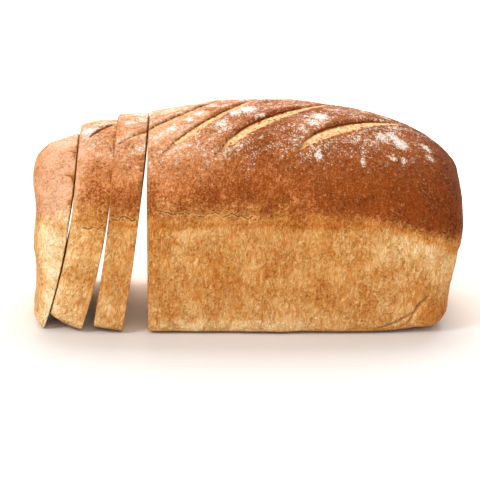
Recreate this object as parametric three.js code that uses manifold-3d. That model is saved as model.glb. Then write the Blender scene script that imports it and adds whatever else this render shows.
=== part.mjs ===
// A tin loaf: a farmhouse loaf baked in an open tin and scored on top. A heel and two slices have been
// cut from its left end and lean against the rest of the loaf, each on the one before it.
// Millimetres. X runs along the loaf, Y across it, Z up. The scored front faces -Y.
// The origin is under the middle of the whole loaf, on the surface that it stands on.

import * as THREE from "three";
import { mergeVertices } from "three/addons/utils/BufferGeometryUtils.js";
import Module from "manifold-3d";

const wasm = await Module();
wasm.setup();

// ---- The dough that the tin shaped
const RIM_LENGTH = 222;
const RIM_WIDTH = 116;
const RIM_HEIGHT = 62; // where the crown leaves the long walls of the tin
const END_RIM_HEIGHT = 45.5; // and its end walls, which the dough's round ends left lower down
const END_DRAFT = 10; // how far each end wall leans in between there and the base
const SIDE_DRAFT = 3.5; // the same for the long walls
const END_FOOT_LENGTH = 14; // the rounding under each end, along the loaf
const END_FOOT_HEIGHT = 12.5;
const SIDE_FOOT_WIDTH = 1.5; // the rounding along the foot of the long walls
const SIDE_FOOT_HEIGHT = 4;
const WALL_SQUARENESS = 7; // the power of the superellipse that rounds the upright corners

// ---- The crown that rose over the rim
const LOAF_HEIGHT = 117.5;
const CROWN_OVERHANG = 1.5; // how far it swells out past the rim
const CROWN_SWELL_HEIGHT = 15; // the height over which it swells
const CROWN_POWER_LENGTH = 5; // the superellipse from end to end
const CROWN_POWER_WIDTH = 2.4; // the superellipse from front to back
const LEFT_DROOP = 11.5; // how much lower the ridge would lie at the very ends
const RIGHT_DROOP = 21;
const LEFT_DROOP_POWER = 1.4; // 1 sinks evenly, 2 sinks mostly near the end
const RIGHT_DROOP_POWER = 2;
const CROWN_PEAK_X = -3; // where the ridge is highest, from the loaf's middle
const TOP_SQUARENESS = 2; // the outline's power at the very top

// ---- The scores, slanting cuts in the crown that opened in the oven. A baker spreads them over the
// loaf, so their ends are shares of half its length and half its width, from its middle.
const SCORES = [
  { front: [-0.82, -0.345], back: [-0.7, -0.07], bow: 0, width: 4.5 },
  { front: [-0.685, -0.55], back: [-0.205, 0.26], bow: 5, width: 6.5 },
  { front: [-0.48, -0.74], back: [-0.03, 0.19], bow: 7, width: 8.5 },
  { front: [-0.22, -0.845], back: [0.33, 0.14], bow: 4, width: 10.5 },
  { front: [0.18, -0.81], back: [0.7, -0.05], bow: 0, width: 10.5 },
];
const SCORE_DEPTH = 0.45; // as a share of the width
const SCORE_UNDERCUT = 0.5; // how far the deepest line lies towards the back lip, as a share of half the width

// ---- The cuts, as thicknesses from the left end
const HEEL_THICKNESS = 15.8;
const OUTER_THICKNESS = 19.3;
const INNER_THICKNESS = 16.2;

// ---- How the cut pieces stand
const HEEL_LEAN = 10; // degrees from upright, towards the rest of the loaf
const OUTER_LEAN = 10;
const INNER_LEAN = 7.2;
const HEEL_BOW = 4; // how far a soft piece sags towards the loaf at half its height
const OUTER_BOW = 4.3;
const INNER_BOW = 1.8;
const HEEL_TURN = 1; // degrees about the upright, which brings each front edge nearer the loaf
const OUTER_TURN = 0.6;
const INNER_TURN = 0.3;
const TOUCHING_GAP = 0.3;

// ---- Fineness of the mesh
const AROUND = 64;
const CROWN_LEVELS = 12;
const WALL_LEVELS = 4;
const FOOT_LEVELS = 4;
const CUT_STRIPS = 10;

const LOAF_HALF = RIM_LENGTH / 2 + CROWN_OVERHANG;
const KNIFE_REACH = 2 * LOAF_HALF; // larger than the loaf every way

// One quarter of a superellipse, evenly spread: share 0 is on the first axis, 1 on the second.
function superellipse(share, power) {
  const along = Math.cos((share * Math.PI) / 2);
  const across = Math.sin((share * Math.PI) / 2);
  const reach = (along ** power + across ** power) ** (-1 / power);
  return { along: along * reach, across: across * reach };
}

// How much a rounded foot takes off a wall at height z.
function footCut(z, footHeight, footDepth) {
  if (z >= footHeight) return 0;
  const share = 1 - z / footHeight;
  return footDepth * (1 - Math.sqrt(1 - share * share));
}

// Half the crown's size at height z, over a wall that ends at rimHeight.
function crownHalf(z, rimHalf, rimHeight, power) {
  const share = Math.min(1, (z - rimHeight) / (LOAF_HEIGHT - rimHeight));
  const swollen = Math.min(1, (z - rimHeight) / CROWN_SWELL_HEIGHT);
  const swell = CROWN_OVERHANG * Math.sin((swollen * Math.PI) / 2);
  return (rimHalf + swell) * (1 - share ** power) ** (1 / power);
}

// Half the loaf's length at height z.
function halfLength(z) {
  const rimHalf = RIM_LENGTH / 2;
  if (z > END_RIM_HEIGHT) return crownHalf(z, rimHalf, END_RIM_HEIGHT, CROWN_POWER_LENGTH);
  const draft = END_DRAFT * (1 - z / END_RIM_HEIGHT);
  return rimHalf - draft - footCut(z, END_FOOT_HEIGHT, END_FOOT_LENGTH);
}

// Half the loaf's width at height z.
function halfWidth(z) {
  const rimHalf = RIM_WIDTH / 2;
  if (z > RIM_HEIGHT) return crownHalf(z, rimHalf, RIM_HEIGHT, CROWN_POWER_WIDTH);
  const draft = SIDE_DRAFT * (1 - z / RIM_HEIGHT);
  return rimHalf - draft - footCut(z, SIDE_FOOT_HEIGHT, SIDE_FOOT_WIDTH);
}

// The share of the crown's height that a point has risen, 0 on the walls.
function risen(z) {
  return Math.max(0, (z - RIM_HEIGHT) / (LOAF_HEIGHT - RIM_HEIGHT));
}

function squareness(z) {
  return THREE.MathUtils.lerp(WALL_SQUARENESS, TOP_SQUARENESS, Math.sqrt(risen(z)));
}

// How far the crown sinks towards the loaf's ends.
function droop(x, z) {
  const away = (x - CROWN_PEAK_X) / LOAF_HALF;
  const sunk = away < 0 ? LEFT_DROOP * (-away) ** LEFT_DROOP_POWER : RIGHT_DROOP * away ** RIGHT_DROOP_POWER;
  return sunk * risen(z);
}

// The heights of the rings that the loaf's skin is drawn through, from the base up to just under the top.
function ringHeights() {
  const heights = [];
  for (let i = 0; i <= FOOT_LEVELS; i++) {
    heights.push(END_FOOT_HEIGHT * (1 - Math.cos((i / FOOT_LEVELS) * (Math.PI / 2))));
  }
  for (let i = 1; i <= WALL_LEVELS; i++) {
    heights.push(THREE.MathUtils.lerp(END_FOOT_HEIGHT, RIM_HEIGHT, i / WALL_LEVELS));
  }
  for (let i = 1; i < CROWN_LEVELS; i++) {
    const { across } = superellipse(i / CROWN_LEVELS, CROWN_POWER_WIDTH);
    heights.push(THREE.MathUtils.lerp(RIM_HEIGHT, LOAF_HEIGHT, across));
  }
  return heights;
}

// The whole loaf before it was cut: a lathe turned through the rings, each ring then pressed to its outline.
function doughGeometry() {
  const profile = ringHeights().map((z) => new THREE.Vector2(1, z));
  profile.unshift(new THREE.Vector2(0, 0));
  profile.push(new THREE.Vector2(0, LOAF_HEIGHT));
  const dough = new THREE.LatheGeometry(profile, AROUND);
  dough.rotateX(Math.PI / 2);
  const place = dough.getAttribute("position");
  for (let i = 0; i < place.count; i++) {
    const z = place.getZ(i);
    const radius = Math.hypot(place.getX(i), place.getY(i));
    const along = radius > 0.5 ? place.getX(i) / radius : 0;
    const across = radius > 0.5 ? place.getY(i) / radius : 0;
    const power = squareness(z);
    const reach = radius > 0.5 ? (Math.abs(along) ** power + Math.abs(across) ** power) ** (-1 / power) : 0;
    const x = halfLength(z) * along * reach;
    place.setXYZ(i, x, halfWidth(z) * across * reach, z - droop(x, z));
  }
  return dough;
}

// The height of the crown above a point, found by halving.
function crownHeight(x, y) {
  let low = RIM_HEIGHT;
  let high = LOAF_HEIGHT;
  for (let i = 0; i < 30; i++) {
    const z = (low + high) / 2;
    const power = squareness(z);
    const fill = (Math.abs(x) / halfLength(z)) ** power + (Math.abs(y) / halfWidth(z)) ** power;
    if (fill < 1) low = z;
    else high = z;
  }
  return low - droop(x, low);
}

// The groove of one score: a long bowed lens laid on the crown, leaning under the lip at its back.
function scoreGeometry({ front, back, bow, width }) {
  const lens = new THREE.SphereGeometry(1, 8, 14);
  const place = lens.getAttribute("position");
  const halves = new THREE.Vector2(LOAF_HALF, RIM_WIDTH / 2);
  const start = new THREE.Vector2(...front).multiply(halves);
  const run = new THREE.Vector2(...back).multiply(halves).sub(start);
  const side = new THREE.Vector2(run.y, -run.x).normalize();
  for (let i = 0; i < place.count; i++) {
    const share = (place.getY(i) + 1) / 2;
    const across = (place.getX(i) + place.getZ(i) * SCORE_UNDERCUT) * (width / 2);
    const sideways = across + bow * 4 * share * (1 - share);
    const x = start.x + run.x * share + side.x * sideways;
    const y = start.y + run.y * share + side.y * sideways;
    place.setXYZ(i, x, y, crownHeight(x, y) + place.getZ(i) * width * SCORE_DEPTH);
  }
  return lens;
}

// A block as thick as one slice, bowed as the slice sags, from its left face to its right face.
function knifeGeometry(leftX, rightX, bow) {
  const thickness = rightX - leftX;
  const block = new THREE.BoxGeometry(thickness, KNIFE_REACH, LOAF_HEIGHT + 2, 1, 1, CUT_STRIPS);
  block.translate((leftX + rightX) / 2, 0, LOAF_HEIGHT / 2);
  const place = block.getAttribute("position");
  for (let i = 0; i < place.count; i++) {
    const share = place.getZ(i) / LOAF_HEIGHT;
    place.setX(i, place.getX(i) + bow * 4 * share * (1 - share));
  }
  return block;
}

function solidOf(geometry) {
  const bare = geometry.clone();
  for (const name of ["normal", "uv"]) bare.deleteAttribute(name);
  const merged = mergeVertices(bare, 1e-3);
  const triVerts = Uint32Array.from(merged.index.array);
  const vertProperties = Float32Array.from(merged.getAttribute("position").array);
  return new wasm.Manifold(new wasm.Mesh({ numProp: 3, vertProperties, triVerts }));
}

function geometryOf(solid) {
  const mesh = solid.getMesh();
  const geometry = new THREE.BufferGeometry();
  geometry.setAttribute("position", new THREE.BufferAttribute(mesh.vertProperties, 3));
  geometry.setIndex(new THREE.BufferAttribute(mesh.triVerts, 1));
  geometry.computeVertexNormals();
  return geometry;
}

function crustMaterial(colour) {
  return new THREE.MeshStandardMaterial({ color: colour, roughness: 0.75, metalness: 0 });
}

// Cuts a piece out of the loaf between two faces, with the bottom of its right face at x = 0.
function cutPiece(loaf, leftX, rightX, bow) {
  const piece = loaf.intersect(solidOf(knifeGeometry(leftX, rightX, bow)));
  return piece.translate([-rightX, 0, 0]);
}

// Tips a piece over the bottom edge of its right face, turns it a little, and stands it on the surface.
function leanPiece(piece, lean, turn) {
  const tipped = piece.rotate([0, lean, 0]).rotate([0, 0, turn]);
  return tipped.translate([0, 0, -tipped.boundingBox().min[2]]);
}

// Slides a piece towards the rest of the loaf until it all but touches it.
function slideAgainst(piece, rest) {
  let clear = rest.boundingBox().min[0] - piece.boundingBox().max[0] - 1;
  let blocked = clear + LOAF_HALF;
  for (let i = 0; i < 16; i++) {
    const tried = (clear + blocked) / 2;
    if (piece.translate([tried, 0, 0]).intersect(rest).isEmpty()) clear = tried;
    else blocked = tried;
  }
  return piece.translate([clear - TOUCHING_GAP, 0, 0]);
}

function scoredLoaf() {
  let loaf = solidOf(doughGeometry());
  for (const score of SCORES) loaf = loaf.subtract(solidOf(scoreGeometry(score)));
  return loaf;
}

const loaf = scoredLoaf();
const heelCut = -LOAF_HALF + HEEL_THICKNESS;
const outerCut = heelCut + OUTER_THICKNESS;
const innerCut = outerCut + INNER_THICKNESS;

const body = loaf.intersect(solidOf(knifeGeometry(innerCut, KNIFE_REACH, 0)));
const inner = slideAgainst(leanPiece(cutPiece(loaf, outerCut, innerCut, INNER_BOW), INNER_LEAN, INNER_TURN), body);
const outer = slideAgainst(leanPiece(cutPiece(loaf, heelCut, outerCut, OUTER_BOW), OUTER_LEAN, OUTER_TURN), body.add(inner));
const heel = slideAgainst(
  leanPiece(cutPiece(loaf, -KNIFE_REACH, heelCut, HEEL_BOW), HEEL_LEAN, HEEL_TURN),
  body.add(inner).add(outer),
);

const tinLoaf = new THREE.Group();
const pieces = [
  ["loaf_body", body, 0xb87a45],
  ["slice_inner", inner, 0xc08550],
  ["slice_outer", outer, 0xc48c58],
  ["heel", heel, 0xc99565],
];
for (const [name, solid, colour] of pieces) {
  const mesh = new THREE.Mesh(geometryOf(solid), crustMaterial(colour));
  mesh.name = name;
  tinLoaf.add(mesh);
}

const box = new THREE.Box3().setFromObject(tinLoaf);
const middle = box.getCenter(new THREE.Vector3());
tinLoaf.position.set(-middle.x, -middle.y, -box.min.z);

export default tinLoaf;
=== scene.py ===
# %% [markdown]
# # A tin loaf, scored, baked and partly sliced
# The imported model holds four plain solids: the scored body of the loaf, two slices and the heel.
# Each gets a finely shaped twin here, with an open score, a wrinkled crust and an airy crumb. All four
# are shaped while the loaf is still whole, so that the crust runs on from piece to piece, and only
# then are the cut pieces bent, tipped and stood where the model has them.

import math
from itertools import product

import bpy
import numpy as np
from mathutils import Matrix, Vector


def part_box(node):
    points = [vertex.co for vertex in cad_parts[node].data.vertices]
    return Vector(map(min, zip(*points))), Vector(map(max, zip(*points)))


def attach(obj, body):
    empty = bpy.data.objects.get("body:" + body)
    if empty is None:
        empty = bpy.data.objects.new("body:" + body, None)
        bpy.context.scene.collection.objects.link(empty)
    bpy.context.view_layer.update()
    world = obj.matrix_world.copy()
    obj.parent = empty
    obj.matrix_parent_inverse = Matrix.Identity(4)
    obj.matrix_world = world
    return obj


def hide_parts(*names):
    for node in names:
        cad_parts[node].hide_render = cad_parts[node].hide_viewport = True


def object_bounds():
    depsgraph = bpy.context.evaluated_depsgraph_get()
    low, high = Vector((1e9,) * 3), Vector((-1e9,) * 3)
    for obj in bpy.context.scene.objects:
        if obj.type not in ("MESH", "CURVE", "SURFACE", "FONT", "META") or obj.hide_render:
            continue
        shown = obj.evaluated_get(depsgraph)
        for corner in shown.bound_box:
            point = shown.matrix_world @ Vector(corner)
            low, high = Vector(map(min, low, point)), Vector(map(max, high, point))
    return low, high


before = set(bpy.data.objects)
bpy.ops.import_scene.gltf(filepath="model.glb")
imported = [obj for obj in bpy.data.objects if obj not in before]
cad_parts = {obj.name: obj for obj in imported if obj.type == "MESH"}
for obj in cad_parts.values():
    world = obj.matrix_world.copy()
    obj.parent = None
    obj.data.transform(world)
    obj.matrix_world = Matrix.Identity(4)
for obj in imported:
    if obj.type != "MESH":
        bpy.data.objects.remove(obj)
cad_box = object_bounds()
MM = 0.001
print("the frame holds", ", ".join(sorted(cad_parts)))

# %% [markdown]
# ## The camera
# A long lens from 1.6 metres away keeps the loaf's sides nearly parallel, as a catalogue
# picture does. It could also be an orthographic camera, but that would lose the slight narrowing
# towards the back of the crown.

# %% The camera
CAMERA_DISTANCE = 1600.1
CAMERA_AZIMUTH, CAMERA_ELEVATION = 0.24, 15.74
AIM_FROM_MIDDLE = (-3.7, -5.3, -18.5)
LENS_LENGTH, SENSOR_WIDTH, FARTHEST_SEEN = 213.6, 36, 50

aim = (cad_box[0] + cad_box[1]) / 2 + Vector(AIM_FROM_MIDDLE) * MM
turn, rise = math.radians(CAMERA_AZIMUTH), math.radians(CAMERA_ELEVATION)
away = Vector((math.sin(turn) * math.cos(rise), -math.cos(turn) * math.cos(rise), math.sin(rise)))
bpy.ops.object.camera_add(
    location=aim + away * CAMERA_DISTANCE * MM, rotation=away.to_track_quat("Z", "Y").to_euler()
)
camera = bpy.context.object
camera.name = "camera"
camera.data.lens = LENS_LENGTH
camera.data.sensor_width = SENSOR_WIDTH
camera.data.clip_end = FARTHEST_SEEN
bpy.context.scene.camera = camera
print("camera at", [round(v, 3) for v in camera.location])

# %% [markdown]
# ## The shape of the whole loaf
# The tin gives the dough drafted walls with a rounded foot, and the crown swells over the rim as a
# superellipse that sinks towards both ends. The same few measures as the solid model's describe it
# here, in millimetres from under the middle of the uncut loaf, and every later step asks them how
# deep a point lies under the skin. A draft is how far a wall leans in from rim to table, a foot is the
# height and depth of its rounding, and a droop is how far the crown sinks at that end.

# %% Measures of the dough
RIM_LENGTH, RIM_WIDTH, LOAF_HEIGHT = 222, 116, 117.5
SIDE_RIM, END_RIM = 62, 45.5
SIDE_DRAFT, END_DRAFT = 3.5, 10
SIDE_FOOT, END_FOOT = (4, 1.5), (12.5, 14)
OVERHANG, SWELL_HEIGHT = 1.5, 15
CROWN_POWER_LENGTH, CROWN_POWER_WIDTH = 5, 2.4
WALL_SQUARENESS, TOP_SQUARENESS = 7, 2
LEFT_DROOP, LEFT_DROOP_POWER = 11.5, 1.4
RIGHT_DROOP, RIGHT_DROOP_POWER = 21, 2
PEAK_X = -3
LOAF_HALF = RIM_LENGTH / 2 + OVERHANG
CROWN_RISE = LOAF_HEIGHT - SIDE_RIM
NEARLY_TOP = 0.99999
WELL_OUTSIDE = 1.5
DEPTH_STEP = 0.5


def foot_cut(z, foot):
    height, depth = foot
    share = np.clip(1 - z / height, 0, 1)
    return depth * (1 - np.sqrt(1 - share**2))


def half_size(z, rim_half, rim, draft, foot, power):
    share = np.clip((z - rim) / (LOAF_HEIGHT - rim), 0, NEARLY_TOP)
    swell = OVERHANG * np.sin(np.clip((z - rim) / SWELL_HEIGHT, 0, 1) * math.pi / 2)
    crown = (rim_half + swell) * (1 - share**power) ** (1 / power)
    return crown - draft * np.clip(1 - z / rim, 0, 1) - foot_cut(z, foot)


def skin_reach(places):
    """How far out points are, from 0 on the loaf's upright axis to 1 on its skin."""
    x, y, z = places.T
    off_peak = (x - PEAK_X) / LOAF_HALF
    sunk = np.where(
        off_peak < 0,
        LEFT_DROOP * np.abs(off_peak) ** LEFT_DROOP_POWER,
        RIGHT_DROOP * np.abs(off_peak) ** RIGHT_DROOP_POWER,
    )
    level = np.where(z > SIDE_RIM, SIDE_RIM + (z - SIDE_RIM) / (1 - sunk / CROWN_RISE), z)
    risen = np.clip((level - SIDE_RIM) / CROWN_RISE, 0, 1)
    power = WALL_SQUARENESS + (TOP_SQUARENESS - WALL_SQUARENESS) * np.sqrt(risen)
    length = half_size(level, RIM_LENGTH / 2, END_RIM, END_DRAFT, END_FOOT, CROWN_POWER_LENGTH)
    width = half_size(level, RIM_WIDTH / 2, SIDE_RIM, SIDE_DRAFT, SIDE_FOOT, CROWN_POWER_WIDTH)
    reach = ((np.abs(x) / length) ** power + (np.abs(y) / width) ** power) ** (1 / power)
    return np.where(level >= LOAF_HEIGHT, WELL_OUTSIDE, reach)


def skin_depth(places):
    """How many millimetres points lie under the walls and the crown."""
    reach = skin_reach(places)
    slopes = [(skin_reach(places + DEPTH_STEP * axis) - reach) / DEPTH_STEP for axis in np.eye(3)]
    return (1 - reach) / np.maximum(np.sqrt(sum(s**2 for s in slopes)), 1e-3)


print("the uncut loaf is", 2 * LOAF_HALF, "x", RIM_WIDTH + 2 * OVERHANG, "x", LOAF_HEIGHT, "mm")

# %% [markdown]
# ## Tools for working a mesh by its points
# Dough is an irregular stuff, and an artist would shape it with sculpting brushes. Code has no brush,
# so the points are read into one array of millimetres, moved together by formulas, and written back.

# %% Reading and writing points
def only(piece):
    bpy.ops.object.select_all(action="DESELECT")
    piece.select_set(True)
    bpy.context.view_layer.objects.active = piece


def read_points(piece):
    flat = np.empty(len(piece.data.vertices) * 3, np.float32)
    piece.data.vertices.foreach_get("co", flat)
    return flat.reshape(-1, 3).astype(float) / MM


def write_points(piece, places):
    piece.data.vertices.foreach_set("co", (places * MM).astype(np.float32).ravel())
    piece.data.update()


def read_normals(piece):
    flat = np.empty(len(piece.data.vertices) * 3, np.float32)
    piece.data.vertex_normals.foreach_get("vector", flat)
    return flat.reshape(-1, 3).astype(float)


def finish_with(piece, kind, **settings):
    """Adds one modifier and applies it at once."""
    only(piece)
    modifier = piece.modifiers.new(kind, kind)
    for name, value in settings.items():
        setattr(modifier, name, value)
    bpy.ops.object.modifier_apply(modifier=modifier.name)


def smooth(values, low, high):
    """A soft step from 0 where values are low to 1 where they are high; low may be the larger."""
    share = np.clip((values - low) / (high - low), 0, 1)
    return share * share * (3 - 2 * share)


def arch(share):
    """0 at both ends of a run and 1 in its middle."""
    return 4 * share * (1 - share)


# %% [markdown]
# ## Unevenness that comes out the same every time
# The unevenness comes from two repeatable noises: a smooth one, and one of scattered cells for holes.
# Both scramble the number of a grid cell with large odd factors, so nothing is drawn at random and
# every run bakes the same loaf. Wherever a noise is used, it has a seed of its own.

# %% Noise
CELL_FACTORS, SEED_FACTOR = (73856093, 19349663, 83492791), 26544357
STIRRING = ((13, 1274126177), (16, 1103515245))
LAST_SHIFT, THIRTY_BITS = 15, 0x3FFFFFFF
TEN_BITS = 1023
NOISE_GAIN = 1.6
OWN_SEED_STEP = 7


def scramble(cell, seed):
    """One repeatable whole number for every cell of a grid."""
    mixed = seed * SEED_FACTOR
    for axis, factor in enumerate(CELL_FACTORS):
        mixed = mixed ^ (cell[:, axis] * factor)
    for shift, factor in STIRRING:
        mixed = (mixed ^ (mixed >> shift)) * factor
    return (mixed ^ (mixed >> LAST_SHIFT)) & THIRTY_BITS


def three_numbers(cell, seed):
    mixed = scramble(cell, seed)
    return np.stack([(mixed >> shift & TEN_BITS) / TEN_BITS for shift in (0, 10, 20)], axis=1)


def noise(places, size, seed):
    """Smooth noise from about -1 to 1; size is its grain in millimetres, or one size for each axis."""
    scaled = places / np.asarray(size, float)
    cell = np.floor(scaled).astype(np.int64)
    inner = scaled - cell
    fade = inner**3 * (inner * (inner * 6 - 15) + 10)
    total = np.zeros(len(places))
    for corner in product((0, 1), repeat=3):
        slope = three_numbers(cell + corner, seed) * 2 - 1
        weight = np.prod(np.where(corner, fade, 1 - fade), axis=1)
        total += weight * np.sum(slope * (inner - corner), axis=1)
    return total * NOISE_GAIN


def bumps(places, *layers):
    """Smooth noises added up, each given as its height, its grain and its seed."""
    return sum(height * noise(places, grain, seed) for height, grain, seed in layers)


def cells(places, size, seed):
    """The distance to the nearest of scattered centres, in grains, and that centre's own number."""
    scaled = places / np.asarray(size, float)
    cell = np.floor(scaled).astype(np.int64)
    nearest = np.full(len(places), np.inf)
    own = np.zeros(len(places))
    for corner in product((-1, 0, 1), repeat=3):
        spot = cell + corner
        gap = np.linalg.norm(spot + three_numbers(spot, seed) - scaled, axis=1)
        closer = gap < nearest
        nearest = np.where(closer, gap, nearest)
        own = np.where(closer, three_numbers(spot, seed + OWN_SEED_STEP)[:, 0], own)
    return nearest, own


def along_line(across_at, up_at, line):
    """The distance to a broken line, and how far along it the nearest point is, from 0 to 1."""
    nearest, progress = np.full(len(across_at), np.inf), np.zeros(len(across_at))
    spot = np.stack([across_at, up_at], axis=1)
    for i, (start, end) in enumerate(zip(line, line[1:])):
        start, run = np.array(start, float), np.array(end, float) - np.array(start, float)
        share = np.clip((spot - start) @ run / (run @ run), 0, 1)
        gap = np.linalg.norm(spot - start - share[:, None] * run, axis=1)
        closer = gap < nearest
        nearest = np.where(closer, gap, nearest)
        progress = np.where(closer, (i + share) / (len(line) - 1), progress)
    return nearest, progress


# %% [markdown]
# ## The risen dough
# The whole loaf starts as a cube of its own size. It is subdivided in edit mode until its squares are
# about a millimetre and a half wide, and each point is then drawn along its ray from the heart of the
# loaf until it meets the skin. A subdivision surface on a few points would be lighter, but its
# roundings could not follow the tin's corners and the crown at once.

# %% The dough
HEART = np.array([0, 0, 45.0])
GRAIN_CUTS = 79
HALVINGS = 26
BEYOND_SKIN = 1.6
ABOVE_TABLE = (-np.inf, -np.inf, 0)

bpy.ops.object.select_all(action="DESELECT")
bpy.ops.mesh.primitive_cube_add(size=1)
dough = bpy.context.object
dough.name = "whole_dough"
corners = read_points(dough) * MM
write_points(dough, corners * (2 * LOAF_HALF, RIM_WIDTH, LOAF_HEIGHT) + (0, 0, LOAF_HEIGHT / 2))
ends = read_points(dough)
for edge in dough.data.edges:
    edge.select = abs(np.subtract(*ends[list(edge.vertices)])[0]) > 1
for face in dough.data.polygons:
    face.select = False
bpy.ops.object.mode_set(mode="EDIT")
bpy.ops.mesh.select_mode(type="EDGE")
bpy.ops.mesh.subdivide(number_cuts=1)
bpy.ops.mesh.select_all(action="SELECT")
bpy.ops.mesh.subdivide(number_cuts=GRAIN_CUTS)
bpy.ops.object.mode_set(mode="OBJECT")

rays = read_points(dough) - HEART
near, far = np.zeros(len(rays)), np.full(len(rays), BEYOND_SKIN)
for _ in range(HALVINGS):
    tried = (near + far) / 2
    spot = HEART + rays * tried[:, None]
    within = (spot[:, 2] > 0) & (skin_reach(np.maximum(spot, ABOVE_TABLE)) < 1)
    near, far = np.where(within, tried, near), np.where(within, far, tried)
write_points(dough, HEART + rays * near[:, None])
print("dough of", len(dough.data.polygons), "squares")

# %% [markdown]
# ## The scores
# A baker draws a blade slantwise through the risen dough, and each cut opens in the oven: the far lip
# curls up into an ear with a shadow under it, and the near side stretches into a smooth, pale ramp.
# Each opening is carved with a long lens, pushed sideways with depth so that it goes in under the far
# lip, and thinned at its front end, where the blade only creased the dough. A Boolean does the
# carving, because moved points could never overhang. A score's ends are shares of the loaf's half
# length and half width, and pale says how far its inside shows as light dough; the rest is painted
# shade, as is the strip under the far lip.

# %% The scores
SCORES = (
    {"front": (-0.82, -0.345), "back": (-0.7, -0.07), "bow": 0, "width": 2.8, "pale": 0.1},
    {"front": (-0.685, -0.55), "back": (-0.205, 0.26), "bow": 5, "width": 5.2, "pale": 0.65},
    {"front": (-0.49, -0.74), "back": (-0.03, 0.19), "bow": 6, "width": 6.8, "pale": 0.95},
    {"front": (-0.23, -0.83), "back": (0.33, 0.14), "bow": 3, "width": 8.4, "pale": 1},
    {"front": (0.165, -0.8), "back": (0.69, -0.05), "bow": -1, "width": 9, "pale": 1},
)
SCORE_DEPTH, SCORE_UNDERCUT = 0.2, 0.2
RAMP_END, RAMP_POWER = 0.8 * math.pi, 1.3
LENS_SEGMENTS, LENS_RINGS = 28, 56
WANDER_RUN, WANDER_GRAIN, WANDER_SEED = 60, 13, 40
WANDER_WIDTH, WANDER_SIDEWAYS = 0.15, 0.5
FRONT_TAPER = (-0.12, 0.26)
HALVES = np.array([LOAF_HALF, RIM_WIDTH / 2])


def front_taper(share):
    """Thins a score to a crease towards its front end."""
    return smooth(share, *FRONT_TAPER)


def score_path(score):
    start = np.array(score["front"]) * HALVES
    run = np.array(score["back"]) * HALVES - start
    side = np.array([run[1], -run[0]]) / np.linalg.norm(run)
    return start, run, side


def crown_height(x, y):
    low, high = np.full(len(x), float(SIDE_RIM)), np.full(len(x), float(LOAF_HEIGHT))
    for _ in range(HALVINGS):
        tried = (low + high) / 2
        within = skin_reach(np.stack([x, y, tried], axis=1)) < 1
        low, high = np.where(within, tried, low), np.where(within, high, tried)
    return low


def lens_for(score, number):
    start, run, side = score_path(score)
    bpy.ops.mesh.primitive_uv_sphere_add(segments=LENS_SEGMENTS, ring_count=LENS_RINGS, radius=1)
    lens = bpy.context.object
    lens.name = f"score_lens_{number}"
    across, up, along = (read_points(lens) * MM).T
    ring, angle = np.hypot(across, up), np.arctan2(-up, across)
    ramp = np.clip(angle / RAMP_END, 0, 1)
    wall = np.clip((angle - RAMP_END) / (math.pi - RAMP_END), 0, 1)
    floor_across = ring * (1 - (2 + SCORE_UNDERCUT) * ramp + SCORE_UNDERCUT * wall)
    floor_up = -ring * ramp**RAMP_POWER * (1 - wall) * score["width"] * SCORE_DEPTH
    open_up = up * score["width"] / 2
    share = (along + 1) / 2
    run_at = np.stack([share * WANDER_RUN, 0 * share, 0 * share], axis=1)
    wander = noise(run_at, WANDER_GRAIN, WANDER_SEED + number)
    half = score["width"] / 2 * (1 + WANDER_WIDTH * wander) * front_taper(share)
    sideways = np.where(up < 0, floor_across, across) * half
    floor_up = floor_up * front_taper(share)
    sideways += score["bow"] * arch(share) + WANDER_SIDEWAYS * wander
    x = start[0] + run[0] * share + side[0] * sideways
    y = start[1] + run[1] * share + side[1] * sideways
    write_points(lens, np.stack([x, y, crown_height(x, y) + np.where(up < 0, floor_up, open_up)], axis=1))
    return lens


bpy.ops.object.select_all(action="DESELECT")
lenses = [lens_for(score, number) for number, score in enumerate(SCORES)]
for lens in lenses:
    lens.select_set(True)
bpy.ops.object.join()
blade = bpy.context.object
only(blade)
bpy.ops.object.mode_set(mode="EDIT")
bpy.ops.mesh.select_all(action="SELECT")
bpy.ops.mesh.normals_make_consistent(inside=False)
bpy.ops.object.mode_set(mode="OBJECT")
finish_with(dough, "BOOLEAN", operation="DIFFERENCE", solver="EXACT", object=blade)
bpy.data.objects.remove(blade)
print("scored dough of", len(dough.data.polygons), "faces")

# %% [markdown]
# ## The cuts
# A knife takes the heel and two slices off the left end. A copy of the whole loaf is bisected for each
# piece, with the cut filled, so that the pieces fit one another exactly. The remesh after it turns the
# long fill into even squares that can be shaped like crumb, and rounds the cut edges a little, as a
# soft crust does. A cut piece then leans in degrees, bows in the middle, turns about the vertical, and
# widens or lifts towards its top left. Its torn heights are where the knife dragged the front crust.

# %% The cuts
HEEL_THICKNESS, OUTER_THICKNESS, INNER_THICKNESS = 15.8, 19.3, 16.2
HEEL_CUT = -LOAF_HALF + HEEL_THICKNESS
OUTER_CUT = HEEL_CUT + OUTER_THICKNESS
INNER_CUT = OUTER_CUT + INNER_THICKNESS
SLICE_GRAIN = 0.7
BODY_GRAIN = 0.8

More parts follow.
